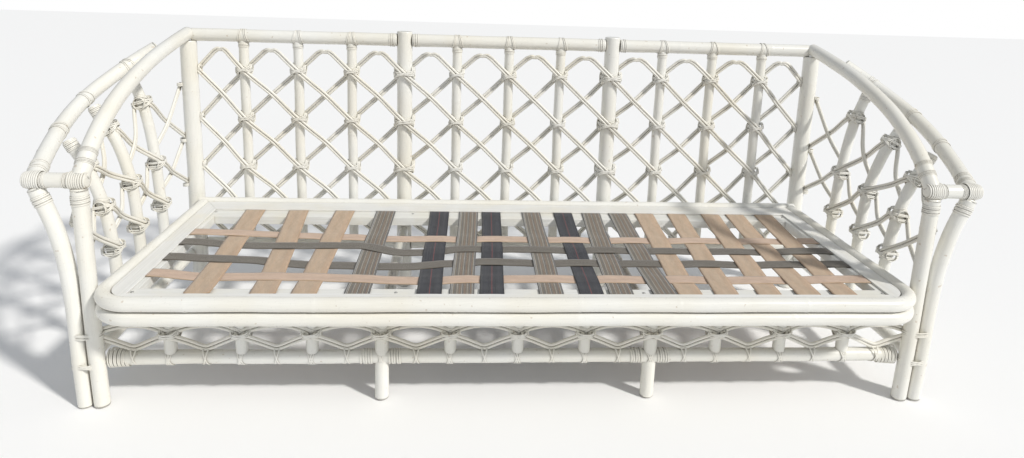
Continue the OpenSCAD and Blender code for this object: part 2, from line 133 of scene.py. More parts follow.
class Shape:
    """The points, faces and texture places of one piece."""

    def __init__(self):
        self.points, self.faces, self.uvs = [], [], []
        self.count = 0

    def add(self, points, faces, uvs):
        """faces is a list of index arrays, of 3 or 4 columns; uvs has a pair for each corner."""
        for face, uv in zip(faces, uvs):
            self.faces.append(np.asarray(face) + self.count)
            self.uvs.append(np.asarray(uv, float))
        self.points.append(points)
        self.count += len(points)


def add_piece(name, mesh, material, nodes):
    """The object of a mesh; it rides on the frame and stands for the CAD nodes."""
    piece = bpy.data.objects.new(name, mesh)
    bpy.context.scene.collection.objects.link(piece)
    mesh.materials.append(material)
    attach(piece, "root")
    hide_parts(*nodes)
    return piece


def build(name, shape, material, nodes):
    """Makes the mesh of a shape, and its object."""
    mesh = bpy.data.meshes.new(name)
    points = np.concatenate(shape.points)
    loops = np.concatenate([f.ravel() for f in shape.faces])
    sizes = np.concatenate([np.full(len(f), f.shape[1]) for f in shape.faces])
    mesh.vertices.add(len(points))
    mesh.vertices.foreach_set("co", points.astype(np.float32).ravel())
    mesh.loops.add(len(loops))
    mesh.loops.foreach_set("vertex_index", loops.astype(np.int32))
    mesh.polygons.add(len(sizes))
    starts = np.concatenate([[0], np.cumsum(sizes)[:-1]])
    mesh.polygons.foreach_set("loop_start", starts.astype(np.int32))
    layer = mesh.uv_layers.new(name="run")
    uvs = np.concatenate([u.reshape(-1, 2) for u in shape.uvs])
    layer.data.foreach_set("uv", uvs.astype(np.float32).ravel())
    mesh.update(calc_edges=True)
    mesh.validate()
    mesh.polygons.foreach_set("use_smooth", np.full(len(mesh.polygons), True))
    return add_piece(name, mesh, material, nodes)


def add_pole(node, shape, part="pole"):
    build(f"{node}.{part}", shape, pole_paint, [node])


def add_peel(node, shape):
    build(f"{node}.peel", shape, peel_paint, [node])


def unit(v):
    return v / np.linalg.norm(v, axis=-1, keepdims=True)


def frames(path, outward=None):
    """Along the path: the tangent, and two directions across it."""
    tangent = unit(np.gradient(path, axis=0))
    if outward is not None:
        u = unit(outward - (outward * tangent).sum(1)[:, None] * tangent)
        return tangent, u, np.cross(tangent, u)
    u = np.empty_like(tangent)
    last = X if abs(tangent[0][0]) < 0.8 else Y
    for i, t in enumerate(tangent):
        last = unit(last - np.dot(last, t) * t)
        u[i] = last
    return tangent, u, np.cross(tangent, u)


def length_along(path):
    """The distance from the start to each point of the path."""
    return np.concatenate([[0], np.cumsum(np.linalg.norm(np.diff(path, axis=0), axis=1))])


def ring_quads(rings, size):
    """For every quad between rings: its ring, its place and next place, and its corners."""
    i, k = np.meshgrid(np.arange(rings - 1), np.arange(size), indexing="ij")
    i, k = i.ravel(), k.ravel()
    k1 = (k + 1) % size
    a, b = i * size, (i + 1) * size
    return i, k, k1, np.stack([a + k, a + k1, b + k1, b + k], 1)


def tube(shape, path, radius, thick=None, sides=16, outward=None, rounding=0.0):
    """A rod along the path. radius is its half width, thick its half size towards outward."""
    path = np.array(path, float)
    n = len(path)
    wide = np.broadcast_to(radius, n).astype(float)
    high = wide if thick is None else np.broadcast_to(thick, n).astype(float)
    tangent, u, v = frames(path, outward)
    centres, us, vs = list(path), list(u), list(v)
    wides, highs = list(wide), list(high)
    if rounding > 0:
        centres[0] = path[0] + tangent[0] * rounding
        centres[-1] = path[-1] - tangent[-1] * rounding
        for angle in (35, 65, 90):
            lean = math.radians(angle)
            inset, pulled = rounding * (1 - math.cos(lean)), rounding * (1 - math.sin(lean))
            centres.insert(0, path[0] + tangent[0] * pulled)
            centres.append(path[-1] - tangent[-1] * pulled)
            for values, first, last in ((us, u[0], u[-1]), (vs, v[0], v[-1])):
                values.insert(0, first)
                values.append(last)
            for values, first, last in ((wides, wide[0], wide[-1]), (highs, high[0], high[-1])):
                values.insert(0, first - inset)
                values.append(last - inset)
    centres, us, vs = np.array(centres), np.array(us), np.array(vs)
    wides, highs = np.array(wides), np.array(highs)
    n = len(centres)
    angle = 2 * np.pi * np.arange(sides) / sides
    rings = (
        centres[:, None]
        + (highs[:, None] * np.cos(angle))[..., None] * us[:, None]
        + (wides[:, None] * np.sin(angle))[..., None] * vs[:, None]
    )
    i, k, _, quads = ring_quads(n, sides)
    along = length_along(centres)
    around = 2 * np.pi * wide.mean() / sides
    quad_uv = np.stack(
        [k * around, along[i], (k + 1) * around, along[i],
         (k + 1) * around, along[i + 1], k * around, along[i + 1]], 1
    )
    points = np.concatenate([rings.reshape(-1, 3), centres[:1], centres[-1:]])
    first, last = n * sides, n * sides + 1
    k = np.arange(sides)
    k1 = (k + 1) % sides
    top = (n - 1) * sides
    fan_a = np.stack([np.full(sides, first), k1, k], 1)
    fan_b = np.stack([np.full(sides, last), top + k, top + k1], 1)
    fan_uv = np.tile([0, 0, around, 0, 0, around], (sides, 1))
    shape.add(points, [quads, fan_a, fan_b], [quad_uv, fan_uv, fan_uv])


def smooth_path(points, step):
    """A smooth curve through the points, with a point about every step."""
    p = np.array(points, float)
    out = []
    for i in range(len(p) - 1):
        a, b = p[i], p[i + 1]
        ta = b - a if i == 0 else (b - p[i - 1]) / 2
        tb = b - a if i == len(p) - 2 else (p[i + 2] - a) / 2
        count = max(2, int(round(np.linalg.norm(b - a) / step)))
        for u in np.arange(count) / count:
            out.append(
                a * (2 * u**3 - 3 * u**2 + 1) + ta * (u**3 - 2 * u**2 + u)
                + b * (3 * u**2 - 2 * u**3) + tb * (u**3 - u**2)
            )
    out.append(p[-1])
    return np.array(out)


def waves(along, size, length):
    """A slow wander of about size, which repeats about every length."""
    total = np.zeros_like(along)
    for part in (1.0, 0.47, 0.23):
        phase = rng.uniform(0, 2 * math.pi)
        total += part * np.sin(2 * np.pi * along / (length * part) + phase)
    return total * size / 1.7


def rattan(shape, path, radius, sides=24, wander=0.5 * MM, rounding=2 * MM):
    """A rattan pole: nearly round, a little crooked, with a faint ring at each node."""
    path = np.array(path, float)
    along = length_along(path)
    total = along[-1]
    swell = waves(along, 0.006 * radius, 0.35)
    place = rng.uniform(0.04, 0.2)
    while place < total:
        near = along - place
        swell += 0.5 * MM * np.exp(-((near / (5 * MM)) ** 2))
        swell -= 0.55 * MM * np.exp(-(((near - 4 * MM) / (2.2 * MM)) ** 2))
        place += rng.uniform(0.19, 0.33)
    _, u, v = frames(path)
    ends = np.clip(np.minimum(along, total - along) / 0.06, 0, 1)[:, None]
    path = path + ends * (
        waves(along, wander, 0.5)[:, None] * u + waves(along, wander, 0.42)[:, None] * v
    )
    tube(shape, path, radius + swell, sides=sides, rounding=rounding)


POLE_STEP = 4 * MM


def straight(shape, a, b, radius, **more):
    count = max(3, int(np.linalg.norm(np.subtract(b, a)) / POLE_STEP))
    rattan(shape, np.linspace(a, b, count), radius, **more)


def node_pole(shape, node, **more):
    """A straight pole where the CAD node lies, along its longest side."""
    low, high = node_box(node)
    axis = int(np.argmax(high - low))
    middle = (low + high) / 2
    a, b = middle.copy(), middle.copy()
    a[axis], b[axis] = low[axis], high[axis]
    across = [high[i] - low[i] for i in range(3) if i != axis]
    straight(shape, a, b, min(across) / 2, **more)


def add_node_pole(node, **more):
    shape = Shape()
    node_pole(shape, node, **more)
    add_pole(node, shape)


# ---- lashings ----

PEEL_W = 1.9 * MM
PEEL_T = 0.95 * MM
TURN_POINTS = 30


def coil(shape, centre, axis, e1, r1, r2, turns, pitch, tilt=0.0, start=0.0, peel=PEEL_W,
         grow=0.0, shift=None, square=1.0):
    """Peel wound round centre: r1 and r2 are the half sizes along e1 and across it.
    square is 1 for an ellipse, and less where the loop is pulled over a flatter bundle."""
    axis, e1 = unit(np.array(axis, float)), np.array(e1, float)
    e1 = unit(e1 - np.dot(e1, axis) * axis)
    e2 = np.cross(axis, e1)
    count = int(turns * TURN_POINTS) + 1
    theta = start + np.linspace(0, 2 * np.pi * turns, count)
    part = np.linspace(-0.5, 0.5, count)
    rise = part * pitch * turns + tilt * np.cos(theta)
    rise += 0.12 * pitch * np.sin(theta * 0.5 + rng.uniform(0, 6))
    loose = 1 + grow * part
    loose += 0.006 * np.sin(theta * 1.7 + rng.uniform(0, 6))
    lie = np.minimum(1, np.minimum(np.arange(count), np.arange(count)[::-1]) / 4)
    tuck = (1 - lie) * 1.4 * MM
    a, b = (r1 * loose - tuck), (r2 * loose - tuck)
    c, d = np.cos(theta), np.sin(theta)
    path = (
        np.array(centre, float)
        + rise[:, None] * axis
        + (a * np.sign(c) * np.abs(c) ** square)[:, None] * e1
        + (b * np.sign(d) * np.abs(d) ** square)[:, None] * e2
    )
    if shift is not None:
        path += (part + 0.5)[:, None] * np.array(shift, float)
    outward = (np.cos(theta) / a)[:, None] * e1 + (np.sin(theta) / b)[:, None] * e2
    tube(shape, path, peel, thick=PEEL_T, sides=8, outward=outward)


def hoop(shape, centre, axis, e1, radius, turns, pitch, **more):
    """Peel wound in a circle."""
    coil(shape, centre, axis, e1, radius, radius, turns, pitch, **more)


def lattice_knot(shape, centre, up, side, radius, spread=17 * MM, slope=1.0):
    """Peel that ties the crossing canes to an upright, on both of its sides."""
    centre = np.array(centre, float)
    reach = radius + 1.2 * MM
    lean = 10 * MM * slope
    over = radius + 2 * CANE_R + 3.2 * MM
    for lift in (-10, 10):
        hoop(shape, centre + up * lift * MM, up, side, reach, 2, 4 * MM, tilt=-lean)
    for tilt in (lean, -0.4 * lean):
        coil(shape, centre, up, side, reach + 5 * MM, over, 2, 4.2 * MM, tilt=tilt,
             start=rng.uniform(0, 1), square=0.55)
    for s in (-1, 1):
        beside = centre + side * s * (radius + 3.5 * MM)
        coil(shape, beside, side, up, spread, radius * 0.72 + 5 * MM, 3, 3.1 * MM,
             tilt=rng.uniform(-1, 1) * 1.5 * MM, start=rng.uniform(1, 2))


def small_knot(shape, centre, side, up, size):
    coil(shape, centre, side, up, size, size * 0.8, 3, 3.4 * MM, start=rng.uniform(0, 6))


X, Y, Z = vec(1, 0, 0), vec(0, 1, 0), vec(0, 0, 1)


def mirrored(p, side):
    return np.array(p, float) * vec(side, 1, 1)


# ---- materials ----

class Paint:
    """Short calls that add nodes to one material."""

    def __init__(self, name):
        self.mat = bpy.data.materials.new(name)
        self.mat.use_nodes = True
        self.tree = self.mat.node_tree
        self.shader = self.tree.nodes["Principled BSDF"]

    def node(self, kind, **values):
        made = self.tree.nodes.new(kind)
        for key, value in values.items():
            setattr(made, key, value)
        return made

    def link(self, source, target):
        self.tree.links.new(source, target)

    def uv(self, across, along):
        """Texture places along the piece, scaled each way."""
        pin = self.node("ShaderNodeUVMap", uv_map="run")
        scale = self.node("ShaderNodeMapping")
        scale.inputs["Scale"].default_value = (across, along, 1)
        self.link(pin.outputs["UV"], scale.inputs["Vector"])
        return scale.outputs["Vector"]

    def place(self, scale):
        """Texture places in the object's own space."""
        pin = self.node("ShaderNodeTexCoord")
        grow = self.node("ShaderNodeMapping")
        grow.inputs["Scale"].default_value = (scale,) * 3
        self.link(pin.outputs["Object"], grow.inputs["Vector"])
        return grow.outputs["Vector"]

    def noise(self, where, scale=1.0, detail=3.0):
        made = self.node("ShaderNodeTexNoise")
        made.inputs["Scale"].default_value = scale
        made.inputs["Detail"].default_value = detail
        self.link(where, made.inputs["Vector"])
        return made.outputs["Fac"]

    def ramp(self, factor, stops, constant=False):
        made = self.node("ShaderNodeValToRGB")
        ramp = made.color_ramp
        if constant:
            ramp.interpolation = "CONSTANT"
        while len(ramp.elements) < len(stops):
            ramp.elements.new(0.5)
        for element, (position, colour) in zip(ramp.elements, stops):
            element.position = position
            element.color = (*colour, 1) if len(colour) == 3 else colour
        self.link(factor, made.inputs["Fac"])
        return made.outputs["Color"]

    def math(self, kind, a, b=None, clamp=False):
        made = self.node("ShaderNodeMath", operation=kind, use_clamp=clamp)
        for pin, value in zip(made.inputs, (a, b)):
            if isinstance(value, (int, float)):
                pin.default_value = value
            elif value is not None:
                self.link(value, pin)
        return made.outputs["Value"]

    def mix(self, factor, a, b, kind="MIX"):
        made = self.node("ShaderNodeMix", data_type="RGBA", blend_type=kind)
        for name, value in (("Factor", factor), ("A", a), ("B", b)):
            pins = [p for p in made.inputs if p.name == name and p.enabled]
            pin = pins[-1] if name != "Factor" else pins[0]
            if isinstance(value, (int, float)):
                pin.default_value = value
            elif isinstance(value, tuple):
                pin.default_value = (*value, 1)
            else:
                self.link(value, pin)
        return [o for o in made.outputs if o.enabled][0]

    def crevice(self, distance, dark):
        """Painted shade: 0 on open surfaces, up to dark where other surfaces are close."""
        made = self.node("ShaderNodeAmbientOcclusion", samples=6)
        made.inputs["Distance"].default_value = distance
        low = self.math("SUBTRACT", 1.0, made.outputs["AO"])
        curved = self.math("POWER", low, 1.6)
        return self.math("MULTIPLY", curved, dark, clamp=True)

    def bump(self, height, strength, distance):
        made = self.node("ShaderNodeBump")
        made.inputs["Strength"].default_value = strength
        made.inputs["Distance"].default_value = distance
        self.link(height, made.inputs["Height"])
        self.link(made.outputs["Normal"], self.shader.inputs["Normal"])

    def finish(self, colour, rough):
        self.link(colour, self.shader.inputs["Base Color"])
        if isinstance(rough, float):
            self.shader.inputs["Roughness"].default_value = rough
        else:
            self.link(rough, self.shader.inputs["Roughness"])
        return self.mat


def fade(a, b, low=0, high=1):
    """Two grey stops of a ramp."""
    return [(a, (low,) * 3), (b, (high,) * 3)]


def tinted(colour, by):
    return tuple(c * k for c, k in zip(colour, by))


# The colour of painted shade, laid where other surfaces are close.
PAINTED_SHADE = (0.20, 0.165, 0.115)
BARE_WOOD = (0.42, 0.29, 0.16)


def white_paint(name, base, shade_strength, rough, fibre, streak=0.05, coat=0.0, crevice=6 * MM):
    """Satin white paint with faint fibre lines, painted shade in the corners and small specks."""
    m = Paint(name)
    lines = m.noise(m.uv(520, 22), detail=4)
    broad = m.noise(m.place(5), detail=3)
    fine = m.noise(m.place(160), detail=2)
    warm = tinted(base, (0.97, 0.945, 0.89))
    colour = m.mix(m.ramp(broad, fade(0.38, 0.68)), base, warm)
    shade = m.ramp(lines, fade(0.3, 0.55, 1 - streak))
    colour = m.mix(1.0, colour, shade, kind="MULTIPLY")
    specks = m.ramp(m.noise(m.place(75), detail=1), fade(0.735, 0.76))
    colour = m.mix(m.math("MULTIPLY", specks, 0.35), colour, BARE_WOOD)
    # painted shade: darker brown where other surfaces are close
    colour = m.mix(m.crevice(crevice, shade_strength), colour, PAINTED_SHADE)
    rough_map = m.math("ADD", m.math("MULTIPLY", fine, 0.16), rough - 0.08)
    m.bump(m.math("ADD", lines, m.math("MULTIPLY", fine, 0.5)), fibre, 0.35 * MM)
    m.shader.inputs["Coat Weight"].default_value = coat
    m.shader.inputs["Coat Roughness"].default_value = 0.16
    return m.finish(colour, rough_map)


def board_paint(name, base, rough):
    """White paint brushed thinly on planed wood: streaks along the board, faint grain."""
    m = Paint(name)
    streaks = m.noise(m.uv(260, 5), detail=5)
    grain = m.noise(m.uv(70, 2.2), detail=4)
    patch = m.noise(m.place(9), detail=3)
    colour = m.mix(m.ramp(streaks, fade(0.36, 0.62, 1, 0)), base, tinted(base, (0.90, 0.895, 0.88)))
    colour = m.mix(m.ramp(patch, fade(0.45, 0.75)), colour, tinted(base, (0.96, 0.93, 0.85)))
    colour = m.mix(m.ramp(grain, fade(0.66, 0.8, 0, 0.35)), colour, BARE_WOOD)
    # painted shade: darker brown where other surfaces are close
    colour = m.mix(m.crevice(9 * MM, 0.55), colour, PAINTED_SHADE)
    m.bump(m.math("ADD", streaks, grain), 0.22, 0.5 * MM)
    return m.finish(colour, m.math("ADD", m.math("MULTIPLY", streaks, 0.2), rough - 0.1))


def webbing(name, width, stops, thread=1.4 * MM, ribs=0.5, rough=0.85, sheen=0.25):
    """Flat woven webbing: lengthwise stripes, threads both ways, a little dirt."""
    m = Paint(name)
    pin = m.node("ShaderNodeUVMap", uv_map="run")
    parts = m.node("ShaderNodeSeparateXYZ")
    m.link(pin.outputs["UV"], parts.inputs["Vector"])
    across, along = parts.outputs["X"], parts.outputs["Y"]
    colour = m.ramp(m.math("DIVIDE", across, width), stops, constant=True)
    warp = m.math("SINE", m.math("MULTIPLY", across, 2 * math.pi / thread))
    weft = m.math("SINE", m.math("MULTIPLY", along, 2 * math.pi / (thread * 0.8)))
    threads = m.math("MULTIPLY", warp, weft)
    dirt = m.noise(m.uv(60, 14), detail=4)
    yarn = m.noise(m.uv(900, 60), detail=2)
    colour = m.mix(
        1.0, colour, m.ramp(dirt, [(0.3, (0.84, 0.83, 0.82)), (0.62, (1, 1, 1))]), "MULTIPLY"
    )
    colour = m.mix(1.0, colour, m.ramp(yarn, fade(0.3, 0.7, 0.84, 1.06)), "MULTIPLY")
    m.bump(m.math("ADD", m.math("MULTIPLY", threads, ribs), yarn), 0.5, 0.3 * MM)
    m.shader.inputs["Sheen Weight"].default_value = sheen
    m.shader.inputs["Specular IOR Level"].default_value = 0.2
    return m.finish(colour, rough)


def stripes(colours, count):
    """Equal stripes across a strap, taking the colours in turn."""
    return [(i / count, colours[i % len(colours)]) for i in range(count)]


WHITE = (0.85, 0.845, 0.80)
CROSS_W = 58 * MM
LONG_W = 44 * MM

pole_paint = white_paint("pole_paint", WHITE, 0.75, 0.30, 0.10, coat=0.25)
cane_paint = white_paint("cane_paint", (0.83, 0.815, 0.755), 0.95, 0.38, 0.14, crevice=5 * MM)
peel_paint = white_paint("peel_paint", (0.85, 0.84, 0.79), 1.0, 0.40, 0.2, crevice=3.5 * MM)
timber_paint = board_paint("timber_paint", (0.83, 0.83, 0.80), 0.55)
trim_paint = board_paint("trim_paint", (0.85, 0.85, 0.83), 0.42)

TAN = (0.57, 0.43, 0.305)
TAN_DARK = (0.52, 0.365, 0.245)
tan_fabric = webbing(
    "tan_fabric", CROSS_W,
    [(0.0, TAN_DARK), (0.05, TAN), (0.32, (0.58, 0.42, 0.29)), (0.36, TAN), (0.66, TAN),
     (0.7, (0.58, 0.42, 0.29)), (0.95, TAN_DARK)],
)
PINK_TAN = (0.64, 0.475, 0.365)
pink_fabric = webbing(
    "pink_fabric", LONG_W, [(0.0, TAN), (0.06, PINK_TAN), (0.94, TAN)],
)
TAUPE = (0.205, 0.175, 0.135)
PALE = (0.44, 0.42, 0.38)
BROWN = (0.25, 0.17, 0.12)
SLATE = (0.15, 0.145, 0.14)
grey_fabric = webbing(
    "grey_fabric", CROSS_W,
    [(0.0, SLATE), (0.035, PALE), (0.075, SLATE), (0.10, PALE), (0.13, TAUPE), (0.2, SLATE),
     (0.24, TAUPE), (0.29, PALE), (0.31, TAUPE), (0.38, BROWN), (0.42, TAUPE), (0.48, PALE),
     (0.5, SLATE), (0.54, TAUPE), (0.6, BROWN), (0.64, TAUPE), (0.7, PALE), (0.72, TAUPE),
     (0.78, SLATE), (0.82, BROWN), (0.86, TAUPE), (0.9, PALE), (0.92, SLATE)],
)
NAVY = (0.026, 0.028, 0.038)
INK = (0.016, 0.017, 0.024)
RED = (0.22, 0.05, 0.05)
navy_fabric = webbing(
    "navy_fabric", CROSS_W,
    [(0.0, INK), (0.05, NAVY), (0.2, (0.055, 0.057, 0.07)), (0.22, NAVY), (0.36, INK),
     (0.4, NAVY), (0.485, RED), (0.515, NAVY), (0.62, INK), (0.66, NAVY),
     (0.78, (0.055, 0.057, 0.07)), (0.8, NAVY), (0.95, INK)],
)
elastic_fabric = webbing(
    "elastic_fabric", LONG_W, stripes([(0.20, 0.18, 0.15), (0.135, 0.12, 0.10)], 22), ribs=0.9
)


def steel():
    m = Paint("dull_steel")
    spots = m.noise(m.place(400), detail=3)
    colour = m.ramp(spots, [(0.35, (0.42, 0.41, 0.39)), (0.7, (0.60, 0.60, 0.58))])
    m.shader.inputs["Metallic"].default_value = 0.9
    return m.finish(colour, m.math("ADD", m.math("MULTIPLY", spots, 0.3), 0.3))


steel_paint = steel()


# ---- back ----

def back_poles():
    for side, word in SIDES:
        for node, x, y, top, radius in (
            (f"corner_post_{word}", CORNER_X, CORNER_Y, corner_high[2], CORNER_R),
            (f"back_post_{word}", POST_X, BACK_Y, post_high[2], POST_R),
        ):
            post = Shape()
            straight(post, (side * x, y, 0), (side * x, y, top), radius, rounding=3 * MM)
            add_pole(node, post)
    for word in ("left", "middle", "right"):
        add_node_pole(f"top_rail_{word}")
    rails = Shape()
    ends = [(-CORNER_X + CORNER_R, -POST_X - POST_R), (-POST_X + POST_R, POST_X - POST_R),
            (POST_X + POST_R, CORNER_X - CORNER_R)]
    for x0, x1 in ends:
        straight(rails, (x0, BACK_Y, BACK_RAIL_Z), (x1, BACK_Y, BACK_RAIL_Z), RAIL_R)
    add_pole("back_bottom_rails", rails, "poles")
    uprights = Shape()
    for i in UPRIGHT_BAYS:
        # each end is coped over the rail that it meets
        straight(uprights, (i * BAY, BACK_Y, BACK_RAIL_Z + RAIL_R - 5 * MM),
                 (i * BAY, BACK_Y, TOP_Z - TOP_R + 6 * MM), UPRIGHT_R, wander=0.9 * MM)
    add_pole("back_uprights", uprights, "poles")


TOUCH = CANE_R + 0.3 * MM
PAIR = (-(CANE_R + 0.15 * MM), CANE_R + 0.15 * MM)
LATTICE_BOTTOM = BACK_RAIL_Z + RAIL_R + 6 * MM


def lattice_x(t):
    """The x at bay number t; the outermost bays end at the face of the corner posts."""
    end = CORNER_X - CORNER_R + 2 * MM
    beyond = max(0.0, abs(t) - 5)
    return math.copysign(min(abs(t), 5) * BAY + beyond * (end - 5 * BAY), t)


def lattice_depth(t):
    """How far a cane stands off the middle plane: out at an upright, in between them."""
    near = round(t)
    if abs(near) == 6:
        peak = 7 * MM
    elif abs(near) == 2:
        peak = POST_R + CANE_R + 1.6 * MM
    else:
        peak = UPRIGHT_R + CANE_R + 1.6 * MM
    return TOUCH + (peak - TOUCH) * (0.5 + 0.5 * math.cos(2 * math.pi * t)) ** 0.8


def diagonal(t0, z0, t1, direction, front):
    """Places on one diagonal, from bay t0 to t1; front is -1 before the uprights, 1 behind."""
    steps = max(3, int(abs(t1 - t0) * 24))
    return [(lattice_x(t), BACK_Y + front * lattice_depth(t),
             z0 + direction * (t - t0) * KNOT_PITCH)
            for t in np.linspace(t0, t1, steps)]


def cane_run(shape, places, offset):
    """One thin cane of a pair, offset across the run in the plane of the back."""
    places = np.array(places, float)
    tangent = unit(np.gradient(places, axis=0))
    across = unit(np.cross(tangent, Y))
    path = places + across * offset
    path[:, 1] += waves(np.arange(len(path)) * 7 * MM, 0.3 * MM, 0.2)
    tube(shape, path, CANE_R, sides=12)


TURN_Z = 775 * MM


def back_canes():
    shape = Shape()
    apex = KNOT_TOP + KNOT_PITCH / 2
    level = (apex - TURN_Z) / KNOT_PITCH
    reach = (TURN_Z - LATTICE_BOTTOM) / KNOT_PITCH
    for i in range(-6, 6):
        m = i + 0.5
        climb = diagonal(m - level, TURN_Z, max(-6, m - level - reach), 1, 1)[::-1]
        fall = diagonal(m + level, TURN_Z, min(6, m + level + reach), -1, -1)
        for offset, dip in zip(PAIR, (0, 5 * MM)):
            bend = [(lattice_x(m + k * level), BACK_Y - k * TOUCH,
                     TURN_Z + 2 * MM - dip * (1 - abs(k))) for k in (-0.6, 0, 0.6)]
            turn = smooth_path([climb[-2], *bend, fall[1]], 3 * MM).tolist()
            cane_run(shape, climb[:-2] + turn + fall[2:], offset)
    for k in range(4):
        z = KNOT_TOP - k * KNOT_PITCH
        span = (z - LATTICE_BOTTOM) / KNOT_PITCH
        for offset in PAIR:
            cane_run(shape, diagonal(-6, z, -6 + span, -1, -1), offset)
            cane_run(shape, diagonal(6, z, 6 - span, 1, 1), offset)
    for i in range(-6, 6):
        for lift in (0, 2 * CANE_R + 0.4 * MM):
            low = [(lattice_x(i + 0.5 + k * 0.055), BACK_Y + k * TOUCH,
                    LATTICE_BOTTOM - 2 * MM + lift) for k in (-1.6, -0.8, 0, 0.8, 1.6)]
            tube(shape, smooth_path(low, 3 * MM), CANE_R, sides=12)
    build("back_canes.pairs", shape, cane_paint,
          ["back_canes_front", "back_canes_rear"])


def rail_loop(shape, x, y, z, radius, top_z):
    """Peel from an upright's two sides up over the rail, and three turns just under it."""
    for s in (-1, 1):
        hoop(shape, (x + s * 10 * MM, y, z), X, Z, radius + 0.9 * MM, 2, 3.9 * MM,
             tilt=-s * 5 * MM, start=math.pi)
    hoop(shape, (x, y, top_z), Z, X, UPRIGHT_R + 0.9 * MM, 3, 4.2 * MM)


def back_lashings():
    shape = Shape()
    for i in UPRIGHT_BAYS + POST_BAYS:
        radius = POST_R if i in POST_BAYS else UPRIGHT_R
        for j in range(4):
            z = KNOT_TOP - j * KNOT_PITCH + rng.uniform(-2, 2) * MM
            lattice_knot(shape, (i * BAY, BACK_Y, z), Z, X, radius,
                         spread=(17 if radius == UPRIGHT_R else 20) * MM)
    for i in UPRIGHT_BAYS:
        rail_loop(shape, i * BAY, BACK_Y, TOP_Z, TOP_R, TOP_Z - TOP_R - 9 * MM)
    for s in (-1, 1):
        for e in (-1, 1):
            hoop(shape, (s * POST_X + e * (POST_R + 14 * MM), BACK_Y, TOP_Z), X, Z,
                 TOP_R + 0.8 * MM, 3, 6 * MM)
        for j in range(4):
            z = KNOT_TOP - j * KNOT_PITCH
            small_knot(shape, vec(s * (CORNER_X - CORNER_R - 4 * MM), BACK_Y, z), X, Z, 13 * MM)
    add_peel("back_lashings", shape)


# ---- arms ----

def side_path(points, side, step=POLE_STEP):
    return smooth_path([mirrored(p, side) * MM for p in points], step)


def at(path, k, value):
    """The place where a path crosses a value along axis k, and its direction there."""
    i = int(np.argmin(np.abs(path[:, k] - value)))
    i = min(max(i, 1), len(path) - 2)
    return path[i], unit(path[i + 1] - path[i - 1])


LEG_WIND_Z = 506 * MM
# windings on an arm rail just behind its corner: [y, pitch]
ARM_WINDS = ((-258, 3.0), (-276, 3.2))
CAP_REACH = 18 * MM


def arm_corner(shape, corner, out, rail, leg):
    """An arm corner: a wound cap over the joint of rail, cross piece and leg."""
    turns = 8
    for t in range(turns):
        x = -CAP_REACH * 0.9 + t * 2 * CAP_REACH * 0.9 / (turns - 1)
        bulge = math.sqrt(max(0.0, 1 - (x / (CAP_REACH * 1.7)) ** 2)) if x * out > 0 else 1.0
        r = 20.5 * MM * bulge
        hoop(shape, corner + X * x, X, Z, r, 1.06, 0, start=rng.uniform(2.6, 3.6),
             peel=2.3 * MM)
    spot, way = at(leg, 2, LEG_WIND_Z)
    hoop(shape, spot, way, X, LEG_R + 1 * MM, 5, 4.6 * MM)
    for y, pitch in ARM_WINDS:
        spot, way = at(rail, 1, y * MM)
        hoop(shape, spot, way, X, ARM_R + 0.4 * MM, 4, pitch * MM, peel=1.2 * MM)


def corner_block(shape, corner):
    """The rounded end that the windings lie on."""
    x = np.linspace(-CAP_REACH, CAP_REACH, 17)
    path = corner + x[:, None] * X
    radius = 19.6 * MM * np.sqrt(np.clip(1 - (x / (CAP_REACH * 1.75)) ** 2, 0, 1))
    tube(shape, path, radius, sides=24, rounding=4 * MM)


def arms():
    crosses = Shape()
    for side, word in SIDES:
        inner, outer = side_path(ARM_INNER, side), side_path(ARM_OUTER, side)
        leg_in, leg_out = side_path(LEG_INNER, side), side_path(LEG_OUTER, side)
        for path, radius, node in (
            (inner, ARM_R, "arm_inner_rail"), (outer, ARM_R, "arm_outer_rail"),
            (leg_in, LEG_R, "front_leg_inner"), (leg_out, LEG_R, "front_leg_outer"),
        ):
            pole = Shape()
            rattan(pole, path, radius, rounding=5 * MM, wander=0.2 * MM)
            add_pole(f"{node}_{word}", pole)
        at_in, at_out = mirrored(CORNER_IN, side), mirrored(CORNER_OUT, side)
        straight(crosses, at_in, at_out, CROSS_R, wander=0)
        wound = Shape()
        corner_block(wound, at_in)
        corner_block(wound, at_out)
        arm_corner(wound, at_in, -side, inner, leg_in)
        arm_corner(wound, at_out, side, outer, leg_out)
        for s, place in ((1, at_in), (-1, at_out)):
            hoop(wound, place + X * side * s * 24 * MM, X, Z, CROSS_R + 0.5 * MM, 4, 3 * MM,
                 peel=1.2 * MM)
        for y, upright in zip(SIDE_Y, SIDE_UPRIGHTS):
            spot, way = at(outer, 1, y * MM)
            for turn_way in (-1, 1):
                hoop(wound, spot + way * turn_way * 7 * MM, way, X, ARM_R + 1 * MM, 2, 4 * MM,
                     tilt=turn_way * 4 * MM)
            x, z = np.array(upright[-1]) * MM
            x2, z2 = np.array(upright[-2]) * MM
            lean = unit(vec(side * (x - x2), 0, z - z2))
            head = vec(side * x, y * MM, z) - lean * 16 * MM
            hoop(wound, head, lean, Y, UPRIGHT_R + 1 * MM, 6, 4 * MM)
        add_peel(f"arm_bindings_{word}", wound)
    add_pole("arm_cross_pieces", crosses, "poles")


LEG_PAIR_X = 1004 * MM
LEG_TIE_LOW, LEG_TIE_HIGH = 106 * MM, 182 * MM
RAIL_WIND_X = 940 * MM


